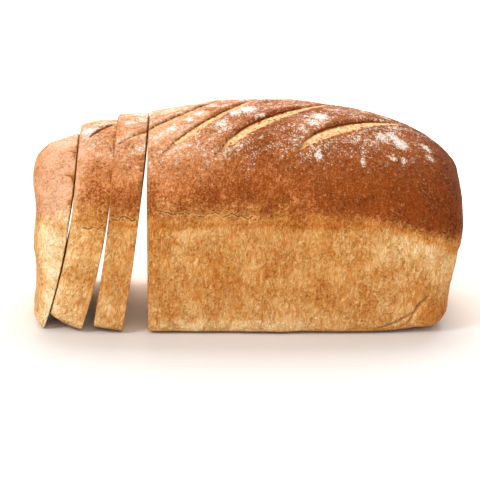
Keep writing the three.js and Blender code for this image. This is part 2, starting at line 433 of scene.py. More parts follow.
CUT_PIECES = {
    "loaf_body": {
        "left": INNER_CUT, "right": None, "grain": BODY_GRAIN, "slot": "crust",
    },
    "slice_inner": {
        "left": OUTER_CUT, "right": INNER_CUT, "grain": SLICE_GRAIN, "slot": "inner_slice_crust",
        "lean": 7.2, "bow": 1.8, "turn": 0.3, "flare": 1.0, "lift": 0,
        "torn": ((92, 101), (74, 88)),
    },
    "slice_outer": {
        "left": HEEL_CUT, "right": OUTER_CUT, "grain": SLICE_GRAIN, "slot": "outer_slice_crust",
        "lean": 10, "bow": 4.4, "turn": 0.6, "flare": 1.3, "lift": 1,
        "torn": ((98, 108), (86, 94), (68, 81)),
    },
    "heel": {
        "left": None, "right": HEEL_CUT, "grain": SLICE_GRAIN, "slot": "heel_crust",
        "lean": 10, "bow": 4.7, "turn": 1, "flare": 0, "lift": 0,
        "torn": ((95, 100), (86, 90), (76, 79)),
    },
}
BAKED_NAMES = {
    "loaf_body": "baked_body",
    "slice_inner": "baked_slice_inner",
    "slice_outer": "baked_slice_outer",
    "heel": "baked_heel",
}
FLARE_HEIGHTS, LIFT_HEIGHTS = (45, 110), (80, 112)
MOST_LEFTWARD = 1.2


def cut_away(at, clear):
    """Bisects the active piece across the loaf, and clears one side of the cut."""
    bpy.ops.object.mode_set(mode="EDIT")
    bpy.ops.mesh.select_all(action="SELECT")
    bpy.ops.mesh.bisect(plane_co=(at * MM, 0, 0), plane_no=(1, 0, 0), use_fill=True, **{clear: True})
    bpy.ops.object.mode_set(mode="OBJECT")


def stand(places, plan):
    """Sags, tips and turns points of a cut piece about the bottom of its right face."""
    if plan["right"] is None:
        return places
    x, y, z = (places - (plan["right"], 0, 0)).T
    share = z / LOAF_HEIGHT
    leftward = np.clip(-x / HEEL_THICKNESS, 0, MOST_LEFTWARD)
    x = x - plan["flare"] * smooth(z, *FLARE_HEIGHTS) * leftward
    z = z + plan["lift"] * smooth(z, *LIFT_HEIGHTS) * leftward
    x = x + plan["bow"] * arch(share)
    lean, turn = math.radians(plan["lean"]), math.radians(plan["turn"])
    x, z = x * math.cos(lean) + z * math.sin(lean), z * math.cos(lean) - x * math.sin(lean)
    x, y = x * math.cos(turn) - y * math.sin(turn), x * math.sin(turn) + y * math.cos(turn)
    return np.stack([x, y, z], axis=1)


baked = {}
for node, plan in CUT_PIECES.items():
    piece = dough.copy()
    piece.data = dough.data.copy()
    piece.name = BAKED_NAMES[node]
    bpy.context.collection.objects.link(piece)
    only(piece)
    if plan["left"] is not None:
        cut_away(plan["left"], "clear_inner")
    if plan["right"] is not None:
        cut_away(plan["right"], "clear_outer")
    standing = stand(read_points(piece), plan)
    high_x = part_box(node)[1].x / MM
    plan["shift"] = np.array([high_x - standing[:, 0].max(), 0, -standing[:, 2].min()])
    finish_with(piece, "REMESH", mode="VOXEL", voxel_size=plan["grain"] * MM, use_smooth_shade=True)
    baked[node] = piece
    print(piece.name, "has", len(piece.data.polygons), "squares; moves by", plan["shift"].round(2))
bpy.data.objects.remove(dough)

# %% [markdown]
# ## Where things are on the loaf
# The shaping and the colouring both follow the same places: the rim line, the inside of each score,
# the ear behind it, the cracks over the front rim, the folds by the right foot, and the cut faces.
# Each is found once, by a formula on the uncut loaf, as a number from 0 to 1 for every point. Weights
# could be painted by hand instead, but every change of shape would mean painting them again.

# %% The rim, the crown, the foot and the cut faces
RIM_DIP, RIM_DIP_START, RIM_DIP_RUN, RIM_DIP_POWER = 19, 68, 44, 1.2
RIM_BLUR = 1.5
RIM_WOBBLE = ((0.9, 9, 11), (0.5, 3, 12))
CUT_FACING, CUT_NEAR = (0.6, 0.85), (3.2, 1.2)
BASE_FACING, BASE_LOW = (0.5, 0.9), (3, 1)
FOOT_LOW, FOOT_NEAR_SKIN = (6, 1), (5, 2)
FOOT_SHARE, FOOT_WAVES = 0.7, (0.3, 17, 29)


def rim_line(x):
    """The height where wall turns to crown, which dips towards the right end."""
    return SIDE_RIM - RIM_DIP * np.clip((x - RIM_DIP_START) / RIM_DIP_RUN, 0, 1) ** RIM_DIP_POWER


def find_skin(places, normal, plan):
    """The cut faces, the base, the foot and the crown, and how deep each point lies."""
    x, _, z = places.T
    near_cut = np.full(len(x), np.inf)
    for side in ("left", "right"):
        if plan[side] is not None:
            near_cut = np.minimum(near_cut, np.abs(x - plan[side]))
    depth = skin_depth(places)
    cut = smooth(np.abs(normal[:, 0]), *CUT_FACING) * smooth(near_cut, *CUT_NEAR)
    foot = smooth(z, *FOOT_LOW) * smooth(depth, *FOOT_NEAR_SKIN)
    wobbly_z = z + bumps(places, *RIM_WOBBLE)
    return {
        "near_cut": near_cut,
        "skin_depth": depth,
        "depth": np.minimum(depth, z),
        "cut": cut,
        "base": smooth(-normal[:, 2], *BASE_FACING) * smooth(z, *BASE_LOW),
        "foot": foot * (FOOT_SHARE + bumps(places, FOOT_WAVES)),
        "crown": smooth(wobbly_z, rim_line(x) - RIM_BLUR, rim_line(x) + RIM_BLUR) * (1 - cut),
    }


# %% The floor, the lip and the ear of each score
SCORES_ABOVE = 70
SCORE_RAGGED = ((0.9, 5, 25), (0.4, 2, 26))
FLOOR_EDGE, FAR_EDGE, FARTHEST_EDGE = (1.35, 0.3), -0.9, -1.5
UNDER_LIP, LIP_SHADE = (0.25, 0.6), (-0.25, -0.9)
CREASED_FRONT, CREASE_SHADE = (0.18, 0.04), 0.8
EAR_BEHIND, EAR_WIDTH, EAR_FULL = 1.1, 1.6, 1.5
LEAST_ARCH = 0.0001


def find_scores(places, found):
    """How far points are on a score's floor, under the painted shade of its far lip, and on the ear behind
    it.
    """
    floor, lip, ear = (np.zeros(len(places)) for _ in range(3))
    ragged = bumps(places, *SCORE_RAGGED)
    covered = smooth(found["skin_depth"], *UNDER_LIP)
    for score in SCORES:
        start, run, side = score_path(score)
        share = (places[:, :2] - start) @ run / (run @ run)
        bowed = arch(share)
        sideways = (places[:, :2] - start) @ side - score["bow"] * bowed
        half = score["width"] / 2 * np.sqrt(np.clip(bowed, LEAST_ARCH, 1)) * front_taper(share)
        within = (share > 0) * (share < 1) * (places[:, 2] > SCORES_ABOVE)
        across = (sideways + np.where(sideways > 0, ragged, 0)) / half
        under = np.where(across < FAR_EDGE, covered * (across > FARTHEST_EDGE), 1)
        inside = smooth(across, *FLOOR_EDGE) * under * within
        # Painted shade: the strip under the far lip, and all of a narrow score's inside, are coloured
        # darker.
        painted_shade = np.maximum(smooth(across, *LIP_SHADE), 1 - score["pale"])
        # The creased front end of a score is painted shade as well.
        painted_shade = np.maximum(painted_shade, CREASE_SHADE * smooth(share, *CREASED_FRONT))
        behind = np.exp(-(((sideways + half + EAR_BEHIND) / EAR_WIDTH) ** 2)) * within
        floor = np.maximum(floor, inside)
        lip = np.maximum(lip, inside * painted_shade)
        ear = np.maximum(ear, behind * np.clip(bowed * EAR_FULL, 0, 1) * (1 - covered))
    found.update(floor=floor * (1 - found["cut"]), lip=lip, ear=ear)


# %% Cracks, folds and torn edges
CRACKS = (
    ((-57, 69.9), (-50, 70.6), (-43, 69.2), (-36, 69.8), (-30, 68.6), (-24, 69.5), (-19, 68.9)),
    ((-21, 67.9), (-15, 68.9), (-9, 67.8), (-2.5, 68.3)),
    ((-76.5, 66.5), (-73, 65.2), (-69, 66.8), (-65, 66), (-62, 68)),
    ((-91, 60), (-86, 61.5), (-82, 62.5), (-78, 65)),
)
FOLDS = (
    ((66, 2.4), (76.5, 7.2), (84.7, 12.7), (90, 19.4), (91.8, 21)),
    ((91.8, 21), (86.3, 16), (83, 8), (79.4, 3.4)),
)
CRACK_HALF, CRACK_ENDS, CRACK_LEAST = 0.5, 3, 0.2
CRACK_JAGS = ((1.5, (2.0, 9, 9), 21), (0.9, (6, 20, 20), 22))
FOLD_HALF, FOLD_START, FOLD_FADE = 0.7, 1.4, 0.8
LOBE_X, LOBE_Z, LOBE_RADIUS = 95, 10, 10
ON_FRONT, LOBE_FRONT, TORN_FRONT = (35, 45), (20, 40), (5, 20)
TORN_BLUR, TORN_REACH, TORN_SKIN = 1.5, (2.6, 1.3), (4, 1.5)
TORN_JAGS = ((2.2, 2.6, 33), (1.2, 1.1, 34))


def find_lines(places, found):
    """The cracks over the front rim, and the folds and the lobe between them by the right foot."""
    x, y, z = places.T
    front = smooth(-y, *ON_FRONT)
    crack, fold = np.zeros(len(x)), np.zeros(len(x))
    jagged_z = z + bumps(places, *CRACK_JAGS)
    patchy = smooth(noise(places, (8, 30, 30), 23), -0.9, -0.3)
    for line in CRACKS:
        gap, progress = along_line(x, jagged_z, line)
        fade = np.clip(CRACK_ENDS * arch(progress), CRACK_LEAST, 1) * patchy
        crack = np.maximum(crack, np.exp(-((gap / CRACK_HALF) ** 2)) * fade)
    for line in FOLDS:
        gap, progress = along_line(x, z, line)
        fade = np.clip(FOLD_START - progress * FOLD_FADE, 0, 1)
        fold = np.maximum(fold, np.exp(-((gap / FOLD_HALF) ** 2)) * fade)
    from_lobe = ((x - LOBE_X) / LOBE_RADIUS) ** 2 + ((z - LOBE_Z) / LOBE_RADIUS) ** 2
    lobe = np.exp(-from_lobe) * smooth(-y, *LOBE_FRONT)
    found.update(crack=crack * front, fold=fold * front, lobe=lobe)


def find_torn(places, plan, found):
    """The bites along the front of a cut piece's right edge."""
    x, y, z = places.T
    found["torn"] = np.zeros(len(x))
    if plan["right"] is None:
        return
    bitten = 0
    for low, high in plan["torn"]:
        above_low = smooth(z, low - TORN_BLUR, low + TORN_BLUR)
        bitten = bitten + above_low * smooth(z, high + TORN_BLUR, high - TORN_BLUR)
    near = smooth(plan["right"] - x + bumps(places, *TORN_JAGS), *TORN_REACH)
    on_skin = smooth(found["skin_depth"], *TORN_SKIN) * smooth(-y, *TORN_FRONT)
    found["torn"] = near * bitten * on_skin


def find_places(places, normal, plan):
    found = find_skin(places, normal, plan)
    find_scores(places, found)
    find_lines(places, found)
    find_torn(places, plan, found)
    return found


# %% [markdown]
# ## Shaping the crust and the crumb
# Crust shrinks and wrinkles as it bakes. The crown gets broad lumps, soft creases that run with the
# scores and a curled ear behind each score. The walls get fine upright worm-like wrinkles where the
# dough crept up the tin. The crumb gets holes. All of it is one sum of heights along the normals; a
# displacement texture could do the same, but could not know a score from a cut.

# %% Wrinkles that follow the dough
SCORES_TURN = math.radians(45)
WORM_SWAY, WORM_SWAY_GRAIN = 1.6, 7
WORM_GRAIN, WORM_HALF = (3.0, 3.0, 9), 0.16


def run_with_scores(places):
    """The same points, with the first axis turned to run along the scores."""
    x, y, z = places.T
    along = x * math.cos(SCORES_TURN) + y * math.sin(SCORES_TURN)
    across = y * math.cos(SCORES_TURN) - x * math.sin(SCORES_TURN)
    return np.stack([along, across, z], axis=1)


def wall_worms(places):
    """Upright wormy wrinkles, from 1 in a groove to 0 between them."""
    sway_x, sway_z = (WORM_SWAY * noise(places, WORM_SWAY_GRAIN, seed) for seed in (27, 28))
    swayed = places + np.stack([sway_x, 0 * sway_x, sway_z], axis=1)
    upright = noise(swayed, WORM_GRAIN, 7)
    return np.exp(-((upright / WORM_HALF) ** 2)) * smooth(noise(places, 11, 8), -0.7, 0.1)


# %% Heights of the crust
LUMPS = ((0.75, 34, 1), (0.3, 13, 2))
CREASE_GRAIN, CREASE_SEED, CREASE_HEIGHT = (26, 9, 20), 3, 0.5
SLANTED_LUMPS = (0.35, (18, 6, 18), 4)
PEBBLES = ((0.22, (2.6, 2.6, 4.5), 5), (0.14, 1.7, 6))
WALL_BUMPS = ((0.18, (2.2, 2.2, 5), 9), (0.2, 6, 10))
WALL_WRINKLE, RIM_GROOVE = 0.32, 0.3
EAR_CURL, LOBE_SWELL = 0.8, 3.0
CRACK_DEPTH, FOLD_DEPTH = 0.8, 2.6
POCKET_GRAIN, POCKET_SEED, POCKET_DEPTH = 2.6, 13, 0.8
FLOOR_BUMPS = (0.2, 2.2, 14)
TORN_DEPTH, TORN_BUMPS = 1.3, (0.8, 2.2, 15)


def crust_height(places, found):
    """How far the crust swells or sinks along its normals, in millimetres."""
    x, _, z = places.T
    wall = (1 - found["crown"]) * (1 - found["cut"]) * (1 - found["base"])
    skin = found["crown"] * (1 - found["floor"])
    slanted = run_with_scores(places)
    crease = 1 - np.abs(noise(slanted, CREASE_GRAIN, CREASE_SEED)) * 2
    pocket, own = cells(places, POCKET_GRAIN, POCKET_SEED)
    pocket_depth = POCKET_DEPTH * smooth(pocket, 0.5, 0.15) * own
    height = bumps(places, *LUMPS)
    height += skin * (CREASE_HEIGHT * crease * smooth(x, 30, -40) + bumps(slanted, SLANTED_LUMPS))
    height += skin * bumps(places, *PEBBLES) * smooth(x, -112, -98)
    height += wall * (bumps(places, *WALL_BUMPS) - WALL_WRINKLE * found["worm"])
    height -= wall * smooth(z - rim_line(x), -6, 0) * RIM_GROOVE
    height += EAR_CURL * found["ear"] + LOBE_SWELL * found["lobe"]
    height -= CRACK_DEPTH * found["crack"] + FOLD_DEPTH * found["fold"]
    height -= found["floor"] * (pocket_depth + bumps(places, FLOOR_BUMPS))
    height -= found["torn"] * (TORN_DEPTH + bumps(places, TORN_BUMPS))
    return height * (1 - found["base"]) * (1 - found["cut"])


# %% Holes in the crumb
CRUMB_HOLES = ((9.0, 0.62, 2.4), (4.2, 0.6, 1.3), (2.4, 0.6, 0.7))
HOLE_STRETCH, HOLE_SEED, HOLE_HEART = 1.35, 60, 0.12
NO_HOLE_BELOW, LEAST_HOLE = 0.35, 0.4
CRUMB_FROM_CRUST = (1.0, 3.5)
CRUMB_SINK, CRUMB_BUMPS = 0.12, (0.12, 1.8, 16)


def crumb_depth(places, normal, found):
    """How far the cut faces sink into holes; each size of hole has its width and its depth."""
    hole = np.zeros(len(places))
    inward = places + 2 * normal * found["cut"][:, None]
    for number, (size, width, depth) in enumerate(CRUMB_HOLES):
        gap, own = cells(inward, (size, size, size * HOLE_STRETCH), HOLE_SEED + number)
        edge = width * (LEAST_HOLE + (1 - LEAST_HOLE) * own)
        hole = np.maximum(hole, depth * smooth(gap, edge, HOLE_HEART) * (own > NO_HOLE_BELOW))
    crumb = found["cut"] * smooth(found["depth"], *CRUMB_FROM_CRUST)
    return crumb * (hole + CRUMB_SINK + bumps(places, CRUMB_BUMPS))


# %% Moving the points
HOLD_NEAR_CUT = (0.2, 2.5)
FOOT_LIFT = 2.2
FULLER_CROWN, CROWN_TOP = ((1.8, 85, 25), (-1.5, -58, 20)), (70, 112)
HEEL_BULGE, HEEL_SPREAD, HEEL_BELLY, HEEL_TOE = 5.5, 1.9, 1.6, 1.6
HEEL_TOP_LIFT, HEEL_CORNER_DROP = 2.4, 3.5


def worked(places, normal, found):
    """The points moved to their baked places, and how deep the crumb's holes went."""
    x, _, z = places.T
    move = normal * crust_height(places, found)[:, None]
    move[:, 0] *= smooth(found["near_cut"], *HOLD_NEAR_CUT)
    move[:, 2] += FOOT_LIFT * found["foot"]
    for rise, middle, reach in FULLER_CROWN:
        move[:, 2] += rise * np.exp(-(((x - middle) / reach) ** 2)) * smooth(z, *CROWN_TOP)
    hole = crumb_depth(places, normal, found)
    return places + move - normal * hole[:, None], hole


def bulge_heel(places):
    """The heel's crust swelled over the end of the tin."""
    x, y, z = places.T
    out = HEEL_BULGE * smooth(z, 60, 84) * smooth(z, 108, 84)
    out = out + HEEL_SPREAD + HEEL_BELLY * smooth(z, 30, 52) + HEEL_TOE * smooth(z, 22, 4)
    side = smooth(-x, -HEEL_CUT + 1, LOAF_HALF - 6)
    up = HEEL_TOP_LIFT * smooth(z, 82, 98) * smooth(x, -LOAF_HALF, HEEL_CUT - 4)
    up = up - HEEL_CORNER_DROP * smooth(z, 18, 6) * smooth(np.abs(y), 15, 45)
    return places + np.stack([-out * side, 0 * x, up], axis=1)


# %% [markdown]
# ## Colouring by place
# How brown each point is, and whether it is crust, score, crumb, flour or torn crust, is written on the
# mesh as named numbers. An image texture could carry them too, but numbers on the points need no
# unwrapping, and the material can still sharpen them with its own fine patterns. The first two tables
# give browning along the loaf from left to right, and at the heel end partly painted light from the
# left as well; the third gives each patch of flour its place, its radius and its strength.

# %% Tables of browning and flour
# At the heel end these numbers are low partly for a paler crust and partly as painted light from the left.
CROWN_BAKE_AND_LIGHT = (
    (-113, 0.0), (-98, 0.06), (-86, 0.27), (-68, 0.25), (-50, 0.25), (-30, 0.37), (0, 0.57),
    (30, 0.54), (60, 0.60), (80, 0.66), (95, 0.73), (105, 0.84),
)
WALL_BAKE_AND_LIGHT = (
    (-113, 0.12), (-98, 0.16), (-92, 0.41), (-80, 0.46), (-70, 0.44), (-60, 0.52), (50, 0.53),
    (85, 0.47), (100, 0.47), (113, 0.6),
)
FLOURED = (
    (-56, -29, 3, 0.7), (-48, -25, 4, 0.9), (-42, -25, 3, 0.6), (-39, -17, 4, 0.9), (-33, -10, 5, 0.9),
    (-27, 3, 5, 0.8), (-59, -8, 3, 0.6), (-52, -4, 4, 0.6), (-42, 4, 4, 0.7), (-21, -27, 5, 0.9),
    (-13, -16, 6, 0.9), (-7, -12, 7, 1.0), (1, -22, 5, 0.8), (-36, -37, 3, 0.5), (-3, 0, 3, 0.5),
    (6, 0, 3, 0.5), (33, -17, 6, 1.0), (29, -24, 5, 0.9), (24, -32, 4, 0.7), (39, -2, 4, 0.6),
    (1, -39, 2.5, 0.5), (59, 9, 5, 0.7), (70, 7, 5, 0.7), (77, -1, 4, 0.6), (51, -8, 4, 0.6),
    (67, -26, 5, 0.9), (73, -22, 5, 0.9), (77, -26, 5, 1.0), (92, -19, 4, 0.8), (94, -26, 3, 0.8),
    (32, -46, 2.6, 1.0), (79, -38, 2.5, 0.8), (73, -39, 2.5, 0.7), (56, -46, 2.2, 0.8), (84, -35, 2, 0.6),
    (-91, -13, 6, 1.0), (-84, -4, 6, 0.9), (-70, -12, 5, 0.8), (-66, 8, 6, 0.9), (-64, -8, 5, 0.8),
)

# %% How brown and how floured
CLOUDY_BAKE, STREAKY_BAKE = (0.06, 40, 51), (0.06, (22, 8, 22), 52)
LOW_LEFT_BAKE = 0.28
END_CROWN_BAKE, END_WALL_BAKE = 0.2, 0.26
WALL_CLOUDS = ((0.10, 26, 56), (0.08, 9, 57))
UNDER_RIM_PALE, RIGHT_RIM_PALE, SEAM_PALE, LOW_PAINTED_LIGHT = 0.05, 0.1, 0.16, 0.1
LOBE_BAKE, RIM_MARK_BAKE, RIGHT_BAND_BAKE = 0.3, 0.08, 0.06
PATCH_SPREAD, DUSTING_STRENGTH = 1.15, 0.85
DUSTING, LEFT_DUSTING, BROKEN_DUSTING = 0.45, 0.1, (0.3, (14, 6, 14), 53)
EAR_FLOUR = 0.4


def crown_bake(places, above, left_end):
    x = places[:, 0]
    bake = np.interp(x, *zip(*CROWN_BAKE_AND_LIGHT))
    bake += bumps(places, CLOUDY_BAKE) + bumps(run_with_scores(places), STREAKY_BAKE)
    bake += LOW_LEFT_BAKE * smooth(above, 32, 10) * smooth(x, 10, -45) * smooth(x, -100, -80)
    return bake + END_CROWN_BAKE * left_end


def wall_bake(places, above, left_end, found):
    x, _, z = places.T
    under_rim = smooth(above, -25, -10) * smooth(above, 0, -4)
    tin_seam = smooth(z, 10, 7) * smooth(np.abs(x + 15), 55, 30)
    rim_mark = smooth(np.abs(above - 1.6), 1.4, 0.2)
    bake = np.interp(x, *zip(*WALL_BAKE_AND_LIGHT)) + bumps(places, *WALL_CLOUDS)
    bake -= under_rim * (UNDER_RIM_PALE + RIGHT_RIM_PALE * smooth(x, 30, 70))
    bake += LOBE_BAKE * found["lobe"] - SEAM_PALE * tin_seam + RIM_MARK_BAKE * rim_mark
    # The lowest wall is painted lighter, painted light that offsets the shade near the table.
    bake += END_WALL_BAKE * left_end - LOW_PAINTED_LIGHT * smooth(z, 30, 8)
    return bake + RIGHT_BAND_BAKE * smooth(x, -20, 50) * smooth(above, -4, 1)


def flour_on(places, found):
    x, y, z = places.T
    patches = np.zeros(len(x))
    for spot_x, spot_y, radius, strength in FLOURED:
        gap = np.hypot(x - spot_x, y - spot_y) / radius
        patches = np.maximum(patches, strength * np.exp(-((gap / PATCH_SPREAD) ** 2)))
    broken = bumps(run_with_scores(places), BROKEN_DUSTING)
    dusting = smooth(z, 80, 104) * (DUSTING + LEFT_DUSTING * smooth(x, 0, -50) + broken)
    flour = np.maximum(patches * smooth(z, 72, 84), DUSTING_STRENGTH * dusting)
    on_ears = EAR_FLOUR * found["ear"] * smooth(noise(places, 7, 55), -0.2, 0.5)
    return np.maximum(flour, on_ears) * (1 - found["floor"])


# %% Writing the numbers on a piece
LEFT_FACING, LEFT_FROM = (0.55, 0.95), (-95, -103)
BAND_HEIGHT, BAND_RIGHT, BAND_LEFT = 20, 1.3, 0.8
HOLE_FULL, SKIN_FULL = 1.5, 5
HEEL_WORM_FADE, FOLD_SHADE = 0.6, 0.6


def paint(piece, name, values):
    kind, field = ("FLOAT_VECTOR", "vector") if values.ndim == 2 else ("FLOAT", "value")
    attribute = piece.data.attributes.new(name, kind, "POINT")
    attribute.data.foreach_set(field, values.astype(np.float32).ravel())


def colour_by_place(piece, places, normal, found, hole):
    x, _, z = places.T
    above = z - rim_line(x)
    left_end = smooth(-normal[:, 0], *LEFT_FACING) * smooth(x, *LEFT_FROM)
    sharper = 1 + BAND_RIGHT * smooth(x, 15, 65) * smooth(x, 115, 80) + BAND_LEFT * smooth(x, -98, -106)
    # The grooves of the wall's wrinkles, which the finish darkens as painted shade.
    wrinkled = found["worm"] * (1 - found["crown"]) * (1 - HEEL_WORM_FADE * smooth(x, -97, -106))
    numbers = {
        "dough": bulge_heel(places) if piece.name == BAKED_NAMES["heel"] else places,
        "bake": crown_bake(places, above, left_end),
        "wall_bake": wall_bake(places, above, left_end, found),
        "crown": found["crown"],
        "above_rim": above / BAND_HEIGHT * sharper,
        "cut": found["cut"],
        "hole": np.clip(hole / HOLE_FULL, 0, 1),
        "under_skin": found["depth"] / SKIN_FULL,
        "worm": wrinkled,
        "score_floor": found["floor"],
        # Painted shadow under each score's far lip.
        "score_shadow": found["lip"],
        # The folds join the cracks at a lower share, and both are painted darker as shade.
        "crack": np.maximum(found["crack"], found["fold"] * FOLD_SHADE),
        "torn": found["torn"],
        "flour": flour_on(places, found),
        "base": found["base"],
    }
    for name, values in numbers.items():
        paint(piece, name, values)


# %% [markdown]
# ## From the loaf to its place
# Each piece is now shaped and coloured where it lay in the loaf, thinned to a sensible number of
# triangles where it needs it, and then sagged, tipped and slid to where its solid stands.

# %% Standing the pieces
MOST_TRIANGLES = 190000

for node, piece in baked.items():
    plan = CUT_PIECES[node]
    places, normal = read_points(piece), read_normals(piece)
    found = find_places(places, normal, plan)
    found["worm"] = wall_worms(places)
    shaped, hole = worked(places, normal, found)
    colour_by_place(piece, places, normal, found, hole)
    write_points(piece, bulge_heel(shaped) if node == "heel" else shaped)
    triangles = 2 * len(piece.data.polygons)
    if triangles > MOST_TRIANGLES:
        finish_with(piece, "DECIMATE", ratio=MOST_TRIANGLES / triangles)
    standing = stand(read_points(piece), plan) + plan["shift"]
    standing[:, 2] = np.maximum(standing[:, 2], 0)
    write_points(piece, standing)
    only(piece)
    bpy.ops.object.shade_smooth()
    low, high = np.min(read_points(piece), axis=0), np.max(read_points(piece), axis=0)
    count = sum(len(face.vertices) - 2 for face in piece.data.polygons)
    print(piece.name, "has", count, "triangles and stands in", low.round(1), high.round(1))

# %% [markdown]
# ## Writing materials as recipes
# A node tree is quicker to read as sums than as wires. A wire stands for one socket and takes the
# usual signs; a recipe adds the nodes. Colours are mixed by mixing nodes, never by the number signs.

# %% Recipe tools
FAINT_SHEEN = 0.07


def tint(red, green, blue):
    """A screen colour, from 0 to 255, as the linear colour that a material takes."""
    shares = [c / 255 for c in (red, green, blue)]
    return (*(c / 12.92 if c < 0.0404 else ((c + 0.055) / 1.055) ** 2.4 for c in shares), 1)


class Wire:
    def __init__(self, recipe, socket):
        self.recipe, self.socket = recipe, socket

    def __add__(self, other):
        return self.recipe.maths("ADD", self, other)

    def __sub__(self, other):
        return self.recipe.maths("SUBTRACT", self, other)

    def __rsub__(self, other):
        return self.recipe.maths("SUBTRACT", other, self)

    def __mul__(self, other):
        return self.recipe.maths("MULTIPLY", self, other)

    __radd__, __rmul__ = __add__, __mul__

    def between(self, low, high):
        """This number, stretched so that low becomes 0 and high becomes 1, and kept inside."""
        stretch = {"Value": self, "From Min": low, "From Max": high}
        return self.recipe.node("ShaderNodeMapRange", {"interpolation_type": "SMOOTHSTEP"}, stretch)


class Recipe:
    def __init__(self, name):
        self.material = bpy.data.materials.new(name)
        self.material.use_nodes = True
        self.tree = self.material.node_tree
        self.tree.nodes.clear()

    def node(self, kind, settings, inputs, output=0):
        node = self.tree.nodes.new(kind)
        for name, value in settings.items():
            if name == "stops":
                while len(node.color_ramp.elements) < len(value):
                    node.color_ramp.elements.new(0.5)
                for stop, (place, colour) in zip(node.color_ramp.elements, value):
                    stop.position, stop.color = place, colour
            else:
                setattr(node, name, value)
        for name, value in inputs.items():
            if isinstance(value, Wire):
                self.tree.links.new(value.socket, node.inputs[name])
            else:
                node.inputs[name].default_value = value
        return Wire(self, node.outputs[output])

    def maths(self, operation, first, second):
        return self.node("ShaderNodeMath", {"operation": operation}, {0: first, 1: second})

    def varied(self, number, *patterns):
        """A number varied by patterns about their middle, each given with its strength."""
        for pattern, strength in patterns:
            number = number + (pattern - 0.5) * strength
        return number

    def ramp(self, stops, shade):
        return self.node("ShaderNodeValToRGB", {"stops": stops}, {"Fac": shade})

    def mix(self, factor, first, second):
        return self.node("ShaderNodeMix", {"data_type": "RGBA"}, {0: factor, 6: first, 7: second}, 2)

    def number(self, name):
        return self.node("ShaderNodeAttribute", {"attribute_name": name}, {}, "Fac")

    def place(self, name, stretch=(1, 1, 1)):
        spot = self.node("ShaderNodeAttribute", {"attribute_name": name}, {}, "Vector")
        return self.node("ShaderNodeVectorMath", {"operation": "MULTIPLY"}, {0: spot, 1: stretch})

    def grain(self, spot, size, detail=2):
        """Cloudy noise about a half, whose patches are size millimetres wide."""
        return self.node("ShaderNodeTexNoise", {}, {"Vector": spot, "Scale": 1 / size, "Detail": detail})

    def worms(self, spot, size):
        """Noise whose patches are pulled about into short curls."""
        settings = {"Vector": spot, "Scale": 1 / size, "Detail": 1, "Distortion": 0.8}
        return self.node("ShaderNodeTexNoise", {}, settings)

    def threads(self, spot, size, width):
        """Thin winding lines, 1 on a line and 0 off it."""
        off_line = self.worms(spot, size) - 0.5
        return (off_line * off_line).between(width * width, 0.0)

    def pores(self, spot, size):
        """The distance to the nearest scattered centre, from 0 in a pore to 1 well away."""
        return self.node("ShaderNodeTexVoronoi", {}, {"Vector": spot, "Scale": 1 / size})

    def finish(self, colour, rough, height, distance):
        bump = self.node("ShaderNodeBump", {}, {"Height": height, "Distance": distance, "Strength": 1.0})
        skin = self.node(
            "ShaderNodeBsdfPrincipled", {},
            {"Base Color": colour, "Roughness": rough, "Normal": bump, "Specular IOR Level": FAINT_SHEEN},
        )
        output = self.tree.nodes.new("ShaderNodeOutputMaterial")
        self.tree.links.new(skin.socket, output.inputs["Surface"])
        return self.material


# %% [markdown]
# ## The finish of baked bread
# One recipe covers crust and crumb, because they grow into each other. The wall is golden with darker
# upright flecks, painted shade in its wrinkles, and a painted highlight and shadow on either side of
# each ridge. The crown goes from honey to red-brown as it gets hotter, with soft mottling along the
# scores. Flour lies in broken patches and fine specks. Scores, bites, cracks and folds get painted shade
# in their depths. Where a score or a cut opens the loaf, the crumb shows, pale and full of pores and
# holes painted in shade, with a thin brown rind at its edge.

# %% The colours of bread
WALL_STOPS = (
    (0.0, tint(246, 224, 184)), (0.25, tint(228, 184, 124)), (0.5, tint(205, 143, 76)),
    (0.75, tint(186, 108, 40)), (1.0, tint(136, 72, 24)),
)
CROWN_STOPS = (
    (0.0, tint(222, 174, 140)), (0.25, tint(205, 131, 77)), (0.5, tint(150, 74, 22)),
    (0.75, tint(126, 56, 15)), (1.0, tint(92, 38, 10)),
)
THREAD, BASE_CRUST = tint(222, 152, 86), tint(176, 112, 52)
SCORE_PALE, SCORE_GOLD = tint(244, 208, 158), tint(222, 166, 104)
SCORE_PORE_SHADE, SCORE_SHADOW = tint(150, 84, 30), tint(124, 56, 15)
CRUMB_PALE, CRUMB_WARM = tint(250, 226, 184), tint(240, 206, 154)
CRUMB_PORE_SHADE, CRUMB_HOLE_SHADE, RIND = tint(214, 164, 104), tint(222, 170, 108), tint(196, 128, 66)
TORN_LIGHT, TORN_SHADE = tint(222, 150, 80), tint(158, 88, 36)
CRACK_LIGHT, CRACK_SHADE = tint(236, 186, 122), tint(116, 54, 14)
FLOUR_THIN, FLOUR_THICK, FLOUR_GRAIN = tint(238, 212, 184), tint(246, 241, 236), tint(224, 164, 98)

# %% The crust
CLOUD_SIZE, FINE_SIZE, SPECK_SIZE, STREAK_SIZE = 12, 2.2, 0.9, 1.5
UPRIGHT_WALL, UPRIGHT_CROWN = (1, 1, 0.4), (1, 1, 0.45)
WORM_SIZE, RIDGE_SIZE, RIDGE_WIDTH = 1.5, 2.4, 0.06
SHADED_SIDE_SHIFT = (-0.45, -0.45, 0.2)
THREAD_SIZE, THREAD_WIDTH = 3.0, 0.028
WORM_SHADE, RIDGE_PAINTED_LIGHT_AND_SHADE, WALL_LIGHTEN, BAND_SHADE = 0.16, 0.15, 0.03, 0.08


